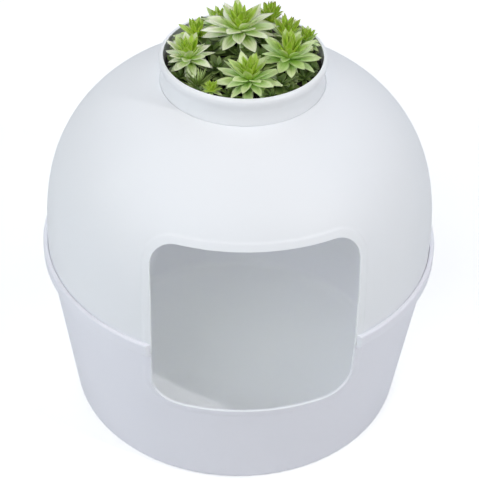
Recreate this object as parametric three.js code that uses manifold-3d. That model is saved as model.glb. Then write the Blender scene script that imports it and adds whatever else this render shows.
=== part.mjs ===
// A cat litter box shaped like a round planter: a tub, a domed hood with a cat door, and a pot of
// succulents on top. A hinged tray under the pot holds a carbon pad against smells.
// Millimetres, +Z up. The origin is the middle of the tub's underside, and the door faces -Y.

import * as THREE from 'three';
import { mergeVertices } from 'three/addons/utils/BufferGeometryUtils.js';
import Module from 'manifold-3d';

// ---------------------------------------------------------------- driving dimensions

// Tub
const tubHeight = 204;
const lipRadius = 215; // outside of the lip at the tub's top
const lipWidth = 5;
const lipDepth = 5;
const lipRounding = 2.2;
const bandHeight = 16; // upright band that surrounds the hood's skirt
const bandRounding = 3.2; // lower outside edge of the band
const tubWall = 2.6;
const tubFloorRadius = 184; // where the slanting wall would meet the floor
const tubFloorRounding = 11;

// Hood
const hoodWall = 2.6;
const hoodFit = 0.5; // between the hood's skirt and the tub's lip
const ledgeReach = 2.8; // how far the tub's ledge reaches in under the skirt
const domeRise = 209.8; // from the lip to where the dome's curve would close
const domeFullness = 2.83; // 2 would be an ellipse, more gives a fuller shoulder

// Cat door, cut through hood and tub alike
const doorWidth = 209;
const doorSill = 121.3; // above the floor
const doorHeight = 202.2;
const doorTopRounding = 22;
const doorSillRounding = 29;
const borderWidth = 8; // raised border round the door
const borderRaise = 0.9;

// Planter pot
const potRimHeight = 31; // from the hood's seat to the pot's rim
const potRimRadius = 86.4;
const potRimWidth = 4.8;
const potRimDepth = 8;
const potRimRounding = 2.3;
const potCollarRadius = 88; // foot of the collar on the hood's seat
const potWaistRadius = 84.9;
const potWaistHeight = 17; // above the seat
const potWaistRounding = 26;
const potWall = 2.4;
const potBodyRadius = 75.5; // the part that hangs through the hood
const potBodyDepth = 42; // below the seat
const potBodyRounding = 8;
const potFit = 0.5; // between the pot's body and the hood's hole
const seatMargin = 1; // flat seat left showing round the collar

// Filter chamber under the pot, with its hinged tray
const chamberRadius = 52.5;
const chamberWall = 2.5;
const chamberDepth = 13;
const trayThickness = 2.3;
const trayRimHeight = 6;
const trayRimWall = 2.5;
const trayPlay = 1.5; // lets the tray's rim swing out of the chamber
const traySlotCount = 7;
const traySlotWidth = 5;
const traySlotPitch = 11;
const traySlotMargin = 8; // left whole between a slot's ends and the rim
const trayTongueWidth = 16;
const trayTongueReach = 7;
const padThickness = 9;
const padPlay = 0.6; // between the pad and the tray's rim
const pinRadius = 1.6;
const pinHeadRadius = 2.8;
const pinHeadLength = 1.4;
const pinOverhang = 1.2; // past the outer faces of the ears
const hingeEyeRadius = 3.5;
const hingeStandoff = 2; // between the chamber's wall and the tray's eye
const knuckleWidth = 11;
const earWidth = 5;

// Arrangement in the pot
const foamFit = 0.5; // between the foam and the pot's wall
const soilFit = 0.4; // between the soil and the pot's rim
const soilEdgeDrop = 12; // soil's edge below the pot's rim
const soilCrown = 5; // soil's middle above its edge
const stemRadius = 3;
const stemDepth = 24; // how deep a stem goes into the foam
const leafWidthShare = 0.21; // of a leaf's length, each side of its middle line
const leafThicknessShare = 0.08;
const leafWidestShare = 0.6; // of the way along the leaf
const budShare = 0.3; // radius of the closed heart, of the plant's spread
const ringTilts = [14, 42, 70]; // rise of the leaves in each ring, degrees
const leafShift = 0.5; // each ring starts this share of a leaf's turn after the one below

// Each plant: how far to the right of the pot's middle and behind it, how high its lowest leaves
// start above the pot's rim, how far its leaves spread and rise, and how many stand in a ring.
const plants = [
  { right: -5, back: 10, base: 5, spread: 30.5, rise: 46, leaves: 7 },
  { right: -56, back: -6, base: -1, spread: 21.5, rise: 26, leaves: 6 },
  { right: -45, back: 41, base: -1, spread: 16, rise: 22, leaves: 5 },
  { right: 50, back: -15, base: 0, spread: 24.5, rise: 29, leaves: 6 },
  { right: 9, back: -44, base: -2, spread: 23.5, rise: 26, leaves: 6 },
  { right: -35, back: -47, base: -4, spread: 15, rise: 15, leaves: 5 },
  { right: 46, back: 28, base: 3, spread: 11.5, rise: 26, leaves: 5 },
  { right: 27, back: 51, base: 3, spread: 14, rise: 25, leaves: 5 },
  { right: 66, back: 23, base: -2, spread: 8, rise: 17, leaves: 5 },
  { right: -10, back: 56, base: 2, spread: 14.5, rise: 25, leaves: 5 },
];

// Shared
const restGap = 0.3; // between a piece and what carries it
const pinGap = 0.3; // round a pin or a stem in its hole
const overlap = 1; // how far joined shapes reach into each other
const largeRoundSegments = 52;
const potSegments = 36;
const pinSegments = 12;
const stemSegments = 6;
const cornerSegments = 3;
const domeSegments = 11;
const weldTolerance = 1e-4;

// ---------------------------------------------------------------- derived sizes

const bandBottom = tubHeight - bandHeight;
const hoodRadius = lipRadius - lipWidth - hoodFit;
const tubShoulderRadius = hoodRadius - ledgeReach + tubWall;
const skirtBottom = bandBottom + tubWall + restGap;
const seatRadius = potCollarRadius + seatMargin;
const seatHeight = tubHeight + domeHeightAt(seatRadius);
const hoodHoleRadius = potBodyRadius + potFit;
const collarBottom = seatHeight + restGap;
const potTop = collarBottom + potRimHeight;
const potUnderside = collarBottom - potBodyDepth;
const potFloor = potUnderside + potWall;
const potLedge = collarBottom + potWall;
const chamberBottom = potUnderside - chamberDepth;
const trayTop = chamberBottom - restGap;
const trayBottom = trayTop - trayThickness;
const trayRimRadius = chamberRadius - chamberWall - trayPlay;
const padRadius = trayRimRadius - trayRimWall - padPlay;
const padBottom = trayTop + restGap;
const eyeRadius = hingeEyeRadius - restGap;
const hingeBack = chamberRadius + hingeStandoff + hingeEyeRadius;
const hingeHeight = chamberBottom + hingeEyeRadius;
const earInner = knuckleWidth / 2 + restGap;
const pinHalfLength = earInner + earWidth + pinOverhang;
const foamRadius = potBodyRadius - potWall - foamFit;
const foamBottom = potFloor + restGap;
const soilBottom = potLedge + restGap;
const foamTop = soilBottom - restGap;
const soilRadius = potRimRadius - potRimWidth - soilFit;
const soilEdge = potTop - soilEdgeDrop;

// ---------------------------------------------------------------- outlines

/** Height of the dome above the tub's lip at a distance from its axis. */
function domeHeightAt(radius) {
  return domeRise * (1 - (radius / hoodRadius) ** 2) ** (1 / domeFullness);
}

/** Points along the dome's curve, from the lip up to the edge of the flat seat. */
function domeCurve() {
  const lastTurn = Math.acos(seatRadius / hoodRadius);
  return Array.from({ length: domeSegments + 1 }, (_, i) => {
    const radius = hoodRadius * Math.cos((lastTurn * i) / domeSegments);
    return new THREE.Vector2(radius, tubHeight + domeHeightAt(radius));
  });
}

/** A corner of an outline, rounded by a radius that is 0 for a sharp one. */
function corner(x, y, rounding = 0) {
  return { point: new THREE.Vector2(x, y), rounding };
}

/** The points that round off one corner between the two before and after it. */
function roundCorner(before, { point, rounding }, after) {
  if (rounding === 0) return [point];
  const inward = before.point.clone().sub(point).normalize();
  const outward = after.point.clone().sub(point).normalize();
  const halfAngle = Math.acos(THREE.MathUtils.clamp(inward.dot(outward), -1, 1)) / 2;
  const reach = rounding / Math.tan(halfAngle);
  const centre = inward.clone().add(outward).normalize();
  centre.multiplyScalar(rounding / Math.sin(halfAngle)).add(point);
  const first = inward.multiplyScalar(reach).add(point).sub(centre);
  const last = outward.multiplyScalar(reach).add(point).sub(centre);
  let turn = last.angle() - first.angle();
  if (turn > Math.PI) turn -= 2 * Math.PI;
  if (turn < -Math.PI) turn += 2 * Math.PI;
  return Array.from({ length: cornerSegments + 1 }, (_, i) => {
    const spoke = first.clone();
    return spoke.rotateAround(new THREE.Vector2(), (turn * i) / cornerSegments).add(centre);
  });
}

/** An open line through corners, with the inner ones rounded. */
function openOutline(corners) {
  return corners.flatMap((each, i) => {
    if (i === 0 || i === corners.length - 1) return [each.point];
    return roundCorner(corners[i - 1], each, corners[i + 1]);
  });
}

/** A closed loop through corners, with each one rounded. */
function closedOutline(corners) {
  const count = corners.length;
  return corners.flatMap((each, i) =>
    roundCorner(corners[(i + count - 1) % count], each, corners[(i + 1) % count]));
}

/** Moves a line to its left by a distance, with its ends moved square to the line. */
function shiftLine(points, distance) {
  return points.map((point, i) => {
    const before = points[Math.max(i - 1, 0)];
    const after = points[Math.min(i + 1, points.length - 1)];
    const arriving = point.clone().sub(i === 0 ? after : before).normalize();
    const leaving = after.clone().sub(point).normalize();
    if (i === 0) arriving.negate();
    if (i === points.length - 1) leaving.copy(arriving);
    const middle = arriving.clone().add(leaving).normalize();
    const left = new THREE.Vector2(-middle.y, middle.x);
    return left.multiplyScalar(distance / middle.dot(arriving)).add(point);
  });
}

/** The loop round a wall whose outside is a line and whose inside lies to the line's left. */
function wallOutline(outside, thickness, raise = 0) {
  return [...shiftLine(outside, -raise), ...shiftLine(outside, thickness).reverse()];
}

/** A rounded rectangle's loop, from its lowest and highest corners. */
function roundedBox(left, bottom, right, top, lowRounding, highRounding) {
  return closedOutline([
    corner(left, bottom, lowRounding),
    corner(right, bottom, lowRounding),
    corner(right, top, highRounding),
    corner(left, top, highRounding),
  ]);
}

// ---------------------------------------------------------------- solids

const wasm = await Module();
wasm.setup();

/** Turns a closed geometry into a solid that can be joined and cut, with its faces outwards. */
function solid(geometry) {
  const bare = geometry.clone();
  bare.deleteAttribute('normal');
  bare.deleteAttribute('uv');
  const welded = mergeVertices(bare, weldTolerance);
  const corners = welded.index.array;
  const triangles = [];
  for (let i = 0; i < corners.length; i += 3) {
    const [a, b, c] = corners.slice(i, i + 3);
    if (a !== b && b !== c && c !== a) triangles.push(a, b, c);
  }
  const build = (list) => new wasm.Manifold(new wasm.Mesh({
    numProp: 3,
    vertProperties: new Float32Array(welded.attributes.position.array),
    triVerts: new Uint32Array(list),
  }));
  const made = build(triangles);
  return made.volume() > 0 ? made : build(triangles.reverse());
}

/** Turns a solid back into a geometry. */
function geometryOf(made) {
  const { vertProperties, triVerts } = made.getMesh();
  const geometry = new THREE.BufferGeometry();
  geometry.setAttribute('position', new THREE.BufferAttribute(vertProperties, 3));
  geometry.setIndex(new THREE.BufferAttribute(triVerts, 1));
  geometry.computeVertexNormals();
  return geometry;
}

/** Joins solids into one. */
function join(...solids) {
  return solids.reduce((whole, each) => whole.add(each));
}

/** A solid turned round the Z axis from a loop of (radius, height) points, or from axis to axis. */
function turned(points, segments = largeRoundSegments) {
  const closes = points[0].x > 0 || points[points.length - 1].x > 0;
  const profile = closes ? [...points, points[0]] : points;
  return solid(new THREE.LatheGeometry(profile, segments).rotateX(Math.PI / 2));
}

/** An upright cylinder. */
function cylinder(radius, bottom, top, segments) {
  const geometry = new THREE.CylinderGeometry(radius, radius, top - bottom, segments);
  return solid(geometry.rotateX(Math.PI / 2).translate(0, 0, (top + bottom) / 2));
}

/** A cylinder along the hinge's line, from one place across to another. */
function hingeCylinder(radius, left, right, segments = pinSegments) {
  const geometry = new THREE.CylinderGeometry(radius, radius, right - left, segments);
  geometry.rotateZ(Math.PI / 2).translate((left + right) / 2, hingeBack, hingeHeight);
  return solid(geometry);
}

/** A box from its lowest corner to its highest. */
function block(low, high) {
  const size = high.map((value, i) => value - low[i]);
  const middle = high.map((value, i) => (value + low[i]) / 2);
  return solid(new THREE.BoxGeometry(...size).translate(...middle));
}

/** A prism of the door's outline, grown by a margin, that passes through the front. */
function doorPrism(margin = 0) {
  const half = doorWidth / 2 + margin;
  const bottom = doorSill - margin;
  const top = doorSill + doorHeight + margin;
  const outline = roundedBox(-half, bottom, half, top, doorSillRounding + margin, doorTopRounding + margin);
  const geometry = new THREE.ExtrudeGeometry(new THREE.Shape(outline), {
    depth: lipRadius + overlap,
    bevelEnabled: false,
  });
  return solid(geometry.rotateX(Math.PI / 2));
}

/** The raised border round the door on a wall given by its outside line. */
function doorBorder(outside, wall) {
  return turned(wallOutline(outside, wall / 2, borderRaise)).intersect(doorPrism(borderWidth));
}

// ---------------------------------------------------------------- sub-parts

/** The open tub, with a band and lip round the hood and a notch for the door. */
function tub() {
  const shoulder = corner(tubShoulderRadius, bandBottom);
  const outside = openOutline([
    corner(0, 0),
    corner(tubFloorRadius, 0, tubFloorRounding),
    shoulder,
    corner(lipRadius, bandBottom, bandRounding),
    corner(lipRadius, tubHeight - lipRounding),
  ]);
  const lip = roundedBox(lipRadius - lipWidth, tubHeight - lipDepth, lipRadius, tubHeight, 0, lipRounding);
  const slope = openOutline([
    corner(tubFloorRadius, 0),
    corner(tubShoulderRadius, bandBottom + tubWall / 2),
  ]);
  return join(turned(wallOutline(outside, tubWall)), turned(lip), doorBorder(slope, tubWall))
    .subtract(doorPrism());
}

/** The domed hood, with a skirt inside the tub's band and a flat seat for the pot. */
function hood() {
  const dome = domeCurve();
  const outside = [
    new THREE.Vector2(hoodRadius, skirtBottom),
    ...dome,
    new THREE.Vector2(hoodHoleRadius, seatHeight),
  ];
  return join(turned(wallOutline(outside, hoodWall)), doorBorder(dome, hoodWall))
    .subtract(doorPrism());
}

/** One of the two ears that carry the hinge's pin, on the side given by 1 or -1. */
function hingeEar(side) {
  const [left, right] = [side * earInner, side * (earInner + earWidth)].sort((a, b) => a - b);
  const wallSide = chamberRadius - chamberWall / 2;
  const arm = block(
    [left, wallSide, hingeHeight - hingeEyeRadius],
    [right, hingeBack, hingeHeight + hingeEyeRadius],
  );
  return join(arm, hingeCylinder(hingeEyeRadius, left, right));
}

/** The pot: a collar on the hood's seat, a body through its hole and the filter's chamber. */
function planterPot() {
  const outside = openOutline([
    corner(0, potUnderside),
    corner(potBodyRadius, potUnderside, potBodyRounding),
    corner(potBodyRadius, collarBottom),
    corner(potCollarRadius, collarBottom),
    corner(potWaistRadius, collarBottom + potWaistHeight, potWaistRounding),
    corner(potWaistRadius, potTop - potRimRounding),
  ]);
  const rim = roundedBox(
    potRimRadius - potRimWidth, potTop - potRimDepth, potRimRadius, potTop, 0, potRimRounding);
  const chamber = roundedBox(
    chamberRadius - chamberWall, chamberBottom, chamberRadius, potUnderside + overlap, 0, 0);
  return join(
    turned(wallOutline(outside, potWall), potSegments),
    turned(rim, potSegments),
    turned(chamber, potSegments),
    hingeEar(-1),
    hingeEar(1),
  ).subtract(hingeCylinder(pinRadius + pinGap, -pinHalfLength, pinHalfLength));
}

/** The slotted tray that closes the filter's chamber from below. */
function filterTray() {
  const rim = roundedBox(
    trayRimRadius - trayRimWall, trayTop - overlap, trayRimRadius, trayTop + trayRimHeight, 0, 0);
  const eye = hingeCylinder(eyeRadius, -knuckleWidth / 2, knuckleWidth / 2);
  const arm = block(
    [-knuckleWidth / 2, trayRimRadius - trayRimWall, trayBottom],
    [knuckleWidth / 2, hingeBack + eyeRadius, trayTop],
  );
  const riser = block(
    [-knuckleWidth / 2, hingeBack - eyeRadius, trayTop - overlap],
    [knuckleWidth / 2, hingeBack + eyeRadius, hingeHeight],
  );
  const tongue = block(
    [-trayTongueWidth / 2, -chamberRadius - trayTongueReach, trayBottom],
    [trayTongueWidth / 2, -trayRimRadius, trayTop],
  );
  const plate = cylinder(chamberRadius, trayBottom, trayTop, potSegments);
  const slotReach = trayRimRadius - trayRimWall - traySlotMargin;
  const slots = Array.from({ length: traySlotCount }, (_, i) => {
    const across = (i - (traySlotCount - 1) / 2) * traySlotPitch;
    const half = Math.sqrt(slotReach ** 2 - across ** 2);
    return block(
      [across - traySlotWidth / 2, -half, trayBottom - overlap],
      [across + traySlotWidth / 2, half, trayTop + overlap],
    );
  });
  return join(plate, turned(rim, potSegments), arm, riser, eye, tongue)
    .subtract(join(...slots))
    .subtract(hingeCylinder(pinRadius + pinGap, -knuckleWidth, knuckleWidth));
}

/** The pin of the tray's hinge, with a head at its left end. */
function trayPin() {
  const head = hingeCylinder(pinHeadRadius, -pinHalfLength - pinHeadLength, -pinHalfLength);
  return join(hingeCylinder(pinRadius, -pinHalfLength - overlap, pinHalfLength), head);
}

/** The round carbon pad that lies in the tray. */
function filterPad() {
  return cylinder(padRadius, padBottom, padBottom + padThickness, potSegments);
}

/** The holes that the plants' stems need in the foam and the soil. */
function stemHoles() {
  return join(...plants.map(({ right, back }) =>
    cylinder(stemRadius + pinGap, foamTop - stemDepth - restGap, potTop, stemSegments)
      .translate([right, back, 0])));
}

/** The foam block in the pot's body. */
function foamBlock() {
  const profile = openOutline([
    corner(0, foamBottom),
    corner(foamRadius, foamBottom, potBodyRounding - potWall),
    corner(foamRadius, foamTop),
    corner(0, foamTop),
  ]);
  return turned(profile, potSegments).subtract(stemHoles());
}

/** The layer of soil on the foam, higher in the middle than at its edge. */
function soilLayer() {
  const crown = new THREE.EllipseCurve(0, soilEdge, soilRadius, soilCrown, 0, Math.PI / 2);
  const profile = [
    new THREE.Vector2(0, soilBottom),
    new THREE.Vector2(soilRadius, soilBottom),
    ...crown.getPoints(cornerSegments),
  ];
  profile[profile.length - 1].x = 0;
  return turned(profile, potSegments).subtract(stemHoles());
}

/** A flattened, pointed leaf that grows from the origin along +X. */
function leaf(length) {
  const profile = [
    new THREE.Vector2(0, 0),
    new THREE.Vector2(leafWidthShare * length, leafWidestShare * length),
    new THREE.Vector2(0, length),
  ];
  const geometry = new THREE.LatheGeometry(profile, 4);
  geometry.rotateZ(-Math.PI / 2).scale(1, 1, leafThicknessShare / leafWidthShare);
  return geometry;
}

/** One plant: rings of leaves that stand up more towards its heart, on a stem. */
function succulent({ right, back, base, spread, rise, leaves }) {
  const heart = new THREE.SphereGeometry(budShare * spread, stemSegments, cornerSegments);
  heart.rotateX(Math.PI / 2).scale(1, 1, rise / spread).translate(0, 0, budShare * rise);
  const blades = ringTilts.flatMap((degrees, ring) => {
    const tilt = THREE.MathUtils.degToRad(degrees);
    const length = 1 / Math.hypot(Math.cos(tilt) / spread, Math.sin(tilt) / rise);
    return Array.from({ length: leaves }, (_, i) => {
      const turn = ((i + ring * leafShift) / leaves) * 2 * Math.PI;
      return solid(leaf(length).rotateY(-tilt).rotateZ(turn));
    });
  });
  const lowest = potTop + base;
  const stem = cylinder(stemRadius, foamTop - stemDepth - lowest, budShare * rise, stemSegments);
  return join(solid(heart), stem, ...blades).translate([right, back, lowest]);
}

// ---------------------------------------------------------------- the assembly

const whitePlastic = { color: 0xe9ecf1, roughness: 0.32, metalness: 0 };
const tubPlastic = { color: 0xdfe2ea, roughness: 0.34, metalness: 0 };
const greyPlastic = { color: 0xb9bcc2, roughness: 0.5, metalness: 0 };
const carbonPad = { color: 0x2b2c2e, roughness: 0.95, metalness: 0 };
const greenFoam = { color: 0x3f5a3a, roughness: 0.95, metalness: 0 };
const darkSoil = { color: 0x2d2219, roughness: 1, metalness: 0 };
const leafGreen = { color: 0x86a83f, roughness: 0.55, metalness: 0 };
const steel = { color: 0xb8bbc0, roughness: 0.3, metalness: 1 };

const litterBox = new THREE.Group();

/** Adds a named piece to the litter box. */
function addPiece(name, made, finish) {
  const mesh = new THREE.Mesh(geometryOf(made), new THREE.MeshStandardMaterial(finish));
  mesh.name = name;
  litterBox.add(mesh);
}

addPiece('tub', tub(), tubPlastic);
addPiece('hood', hood(), whitePlastic);
addPiece('planter_pot', planterPot(), whitePlastic);
addPiece('filter_tray', filterTray(), greyPlastic);
addPiece('filter_tray_pin', trayPin(), steel);
addPiece('carbon_filter_pad', filterPad(), carbonPad);
addPiece('foam_block', foamBlock(), greenFoam);
addPiece('soil_layer', soilLayer(), darkSoil);
plants.forEach((plant, i) => addPiece(`succulent_${i + 1}`, succulent(plant), leafGreen));

export default litterBox;
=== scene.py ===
"""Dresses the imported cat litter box: a tub, a domed hood with a cat door, and a planted pot.

Metres, +Z up, with the door facing -Y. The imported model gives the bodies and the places.
"""

import logging
import math
import random
from abc import ABC, abstractmethod
from collections.abc import Iterator, Mapping, Sequence
from dataclasses import dataclass
from enum import Enum
from functools import cache

import bmesh
import bpy
import numpy as np
from bmesh.types import BMesh, BMVert
from bpy.types import Light, Material, Node, NodeSocket, NodeTree, Object
from mathutils import Matrix, Vector, noise


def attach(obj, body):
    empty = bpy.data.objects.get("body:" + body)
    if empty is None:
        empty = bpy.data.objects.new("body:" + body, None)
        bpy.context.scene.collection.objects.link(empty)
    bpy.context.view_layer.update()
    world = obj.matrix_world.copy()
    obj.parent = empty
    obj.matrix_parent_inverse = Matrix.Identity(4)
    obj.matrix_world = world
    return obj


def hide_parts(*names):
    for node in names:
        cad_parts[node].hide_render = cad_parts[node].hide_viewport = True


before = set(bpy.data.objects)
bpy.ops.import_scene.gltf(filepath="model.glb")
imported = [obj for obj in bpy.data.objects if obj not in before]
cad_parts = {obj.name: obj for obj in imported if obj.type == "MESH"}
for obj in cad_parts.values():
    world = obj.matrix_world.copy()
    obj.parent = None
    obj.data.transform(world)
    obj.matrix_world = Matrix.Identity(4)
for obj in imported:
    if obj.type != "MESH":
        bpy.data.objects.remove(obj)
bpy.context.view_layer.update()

LOG = logging.getLogger("litter_box")
MM = 0.001
# Doubled vertices lie within WELD, and places within SAME_PLACE count as one.
WELD = 1e-6
SAME_PLACE = 1e-5
# A point well inside the box.
MIDDLE = Vector((0, 0, 0.2))
# A face whose normal rises or falls more than this is level.
LEVEL_NORMAL = 0.5
# Past its roundings, a straight longer than LEAST_SPARE is held flat for a share of its length,
# up to LONGEST_HOLD. Lengths in millimetres.
HOLD_SHARE = 0.3
LONGEST_HOLD = 0.8
LEAST_SPARE = 0.3
BEVEL_SEGMENTS = 3
SHARP_ANGLE = math.radians(40)

Pair = tuple[float, float]
Triple = tuple[float, float, float]
Colour = tuple[float, float, float, float]


class Body(Enum):
    """The bodies that move on the joints."""

    BASE = "base"
    COVER = "cover"
    PLANTER = "planter"
    TRAY = "tray"
    ARRANGEMENT = "arrangement"


class Slot(Enum):
    """The record's material slots, which the new pieces are given but do not use."""

    TUB = "tub_plastic"
    WHITE = "white_plastic"
    FELT = "carbon_felt"
    FOAM = "floral_foam"
    SOIL = "dark_soil"
    LEAF = "succulent_leaf"


# ---------------------------------------------------------------- mesh tools


def to_mm(*corners: Triple) -> list[Triple]:
    """Turns corners in metres into corners in millimetres."""
    return [tuple(value / MM for value in corner) for corner in corners]


def rounded(corners: Sequence[Triple], steps: int = 6) -> list[Pair]:
    """Gives the points of a line through corners, each rounded, with its straights held flat.

    Args:
        corners: Each corner's two coordinates and its rounding, all in millimetres.
        steps: Segments in each rounded corner.

    Returns:
        Points in metres, with the first and the last corner left sharp.
    """
    spots = [Vector(corner[:2]) for corner in corners]
    halves, reaches = [0.0] * len(corners), [0.0] * len(corners)
    for i in range(1, len(corners) - 1):
        halves[i] = (spots[i - 1] - spots[i]).angle(spots[i + 1] - spots[i]) / 2
        reaches[i] = corners[i][2] / math.tan(halves[i])

    def hold(i: int, j: int) -> float:
        """How far past a rounding the straight between two corners is held flat."""
        spare = (spots[i] - spots[j]).length - reaches[i] - reaches[j]
        return min(LONGEST_HOLD, HOLD_SHARE * spare) if spare > LEAST_SPARE else 0.0

    points = [spots[0]]
    for i in range(1, len(corners) - 1):
        if corners[i][2] == 0:
            points.append(spots[i])
            continue
        back = (spots[i - 1] - spots[i]).normalized()
        onward = (spots[i + 1] - spots[i]).normalized()
        centre = spots[i] + (back + onward).normalized() * (corners[i][2] / math.sin(halves[i]))
        first, last = spots[i] + back * reaches[i], spots[i] + onward * reaches[i]
        start = math.atan2(*(first - centre).yx)
        turn = math.remainder(math.atan2(*(last - centre).yx) - start, math.tau)
        if before := hold(i, i - 1):
            points.append(first + back * before)
        for step in range(steps + 1):
            angle = start + turn * step / steps
            points.append(centre + Vector((math.cos(angle), math.sin(angle))) * corners[i][2])
        if after := hold(i, i + 1):
            points.append(last + onward * after)
    points.append(Vector(corners[-1][:2]))
    return [(p.x * MM, p.y * MM) for p in points]


def extrude_line(
    bm: BMesh, line: Sequence[BMVert], places: Sequence[Vector], closed: bool = False
) -> list[BMVert]:
    """Extrudes a line of vertices and moves each new vertex to its place.

    Args:
        bm: The mesh.
        line: Vertices joined one to the next by edges.
        places: Where the new vertices go, one for each of the line's.
        closed: Whether the last vertex is joined to the first.

    Returns:
        The new line, in the same order.
    """
    following = [*line[1:], line[0]] if closed else line[1:]
    edges = [bm.edges.get(pair) for pair in zip(line, following)]
    made = bmesh.ops.extrude_edge_only(bm, edges=edges)["geom"]
    fresh = {item for item in made if isinstance(item, BMVert)}
    moved = []
    for old, place in zip(line, places):
        new = next(v for e in old.link_edges if (v := e.other_vert(old)) in fresh)
        new.co = place
        moved.append(new)
    return moved


def first_line(bm: BMesh, places: Sequence[Vector]) -> list[BMVert]:
    """Starts a mesh with a line of vertices.

    Args:
        bm: The mesh.
        places: Where the vertices go.

    Returns:
        The vertices, joined one to the next by edges.
    """
    line = [bm.verts.new(place) for place in places]
    for pair in zip(line, line[1:]):
        bm.edges.new(pair)
    return line


def face_outwards(bm: BMesh) -> None:
    """Merges doubled vertices and turns every face outwards."""
    bmesh.ops.remove_doubles(bm, verts=bm.verts[:], dist=WELD)
    bmesh.ops.recalc_face_normals(bm, faces=bm.faces[:])


def face_skin_outwards(bm: BMesh) -> None:
    """Merges a skin's doubled vertices and turns its faces away from the box's middle.

    Args:
        bm: The skin, open at an edge, before its wall gets its thickness.
    """
    face_outwards(bm)
    spread = sum(f.normal.dot(f.calc_center_median() - MIDDLE) * f.calc_area() for f in bm.faces)
    if spread < 0:
        bmesh.ops.reverse_faces(bm, faces=bm.faces[:])


def spun(profile: Sequence[Pair], steps: int) -> BMesh:
    """Spins a line of radius and height a full turn round the Z axis.

    Args:
        profile: Points from the axis to the axis, or a closed loop that ends where it starts.
        steps: Segments in the turn.

    Returns:
        A closed mesh that faces outwards.
    """
    bm = bmesh.new()
    line = first_line(bm, [Vector((radius, 0, height)) for radius, height in profile])
    edges = [bm.edges.get(pair) for pair in zip(line, line[1:])]
    bmesh.ops.spin(
        bm,
        geom=line + edges,
        cent=(0, 0, 0),
        axis=(0, 0, 1),
        angle=math.tau,
        steps=steps,
        use_merge=True,
    )
    face_outwards(bm)
    return bm


# ---------------------------------------------------------------- node tools


class Sheet:
    """A node tree that nodes are added to and joined up in."""

    def __init__(self, tree: NodeTree) -> None:
        """Starts from an empty tree."""
        self.tree = tree
        tree.nodes.clear()

    def add(self, kind: str, values: dict | None = None, **settings: object) -> Node:
        """Adds a node.

        Args:
            kind: The node's type.
            values: Numbers, colours or sockets for its inputs, by name or number.
            settings: The node's own settings.

        Returns:
            The node.
        """
        node = self.tree.nodes.new(kind)
        for name, setting in settings.items():
            setattr(node, name, setting)
        self.fill(node, values or {})
        return node

    def fill(self, node: Node, values: dict) -> None:
        """Sets a node's inputs or joins them to other nodes.

        Args:
            node: The node.
            values: Numbers, colours or sockets, by the input's name or number.
        """
        for key, value in values.items():
            if isinstance(value, NodeSocket):
                self.tree.links.new(value, node.inputs[key])
            else:
                node.inputs[key].default_value = value

    def math(self, operation: str, *values: object) -> NodeSocket:
        """Adds a Math node and gives its result."""
        return self.add("ShaderNodeMath", dict(enumerate(values)), operation=operation).outputs[0]

    def times(self, first: object, second: object) -> NodeSocket:
        """Multiplies two values."""
        return self.math("MULTIPLY", first, second)

    def plus(self, first: object, second: object) -> NodeSocket:
        """Adds two values."""
        return self.math("ADD", first, second)

    def mix(self, share: object, first: object, second: object) -> NodeSocket:
        """Mixes two colours by a share."""
        node = self.add("ShaderNodeMix", {0: share, 6: first, 7: second}, data_type="RGBA")
        return node.outputs[2]

    def span(
        self, value: object, low: float, high: float, to_low: float = 0.0, to_high: float = 1.0
    ) -> NodeSocket:
        """Maps a value's range smoothly to another one."""
        values = {0: value, 1: low, 2: high, 3: to_low, 4: to_high}
        return self.add("ShaderNodeMapRange", values, interpolation_type="SMOOTHSTEP").outputs[0]

    def cloud(
        self, place: NodeSocket, scale: object, detail: float = 2.0, roughness: float = 0.5
    ) -> NodeSocket:
        """Adds a noise and gives its value."""
        values = {"Vector": place, "Scale": scale, "Detail": detail, "Roughness": roughness}
        return self.add("ShaderNodeTexNoise", values).outputs[0]

    def stretched(self, scale: Triple) -> NodeSocket:
        """Gives the piece's own coordinates, scaled along each axis."""
        values = {"Vector": self.place(), "Scale": scale}
        return self.add("ShaderNodeMapping", values).outputs[0]

    def bump(self, height: object, distance: float, strength: float) -> NodeSocket:
        """Turns a height into a normal."""
        values = {"Height": height, "Distance": distance, "Strength": strength}
        return self.add("ShaderNodeBump", values).outputs[0]

    def place(self) -> NodeSocket:
        """Gives the piece's own coordinates in metres."""
        return self.add("ShaderNodeTexCoord").outputs["Object"]


def shade(red: float, green: float, blue: float) -> Colour:
    """A colour with full cover."""
    return (red, green, blue, 1.0)


def new_group(
    name: str, inputs: dict[str, object], outputs: dict[str, str]
) -> tuple[Sheet, Mapping[str, NodeSocket], Node]:
    """Starts a node group that several materials use.

    Args:
        name: The group's name.
        inputs: Each input's default, a number or a colour.
        outputs: Each output's socket type.

    Returns:
        The group's sheet, its given sockets by name, and its output node.
    """
    tree = bpy.data.node_groups.new(name, "ShaderNodeTree")
    for key, default in inputs.items():
        kind = "NodeSocketFloat" if isinstance(default, float) else "NodeSocketColor"
        tree.interface.new_socket(key, in_out="INPUT", socket_type=kind).default_value = default
    for key, kind in outputs.items():
        tree.interface.new_socket(key, in_out="OUTPUT", socket_type=kind)
    sheet = Sheet(tree)
    return sheet, sheet.add("NodeGroupInput").outputs, sheet.add("NodeGroupOutput")


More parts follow.
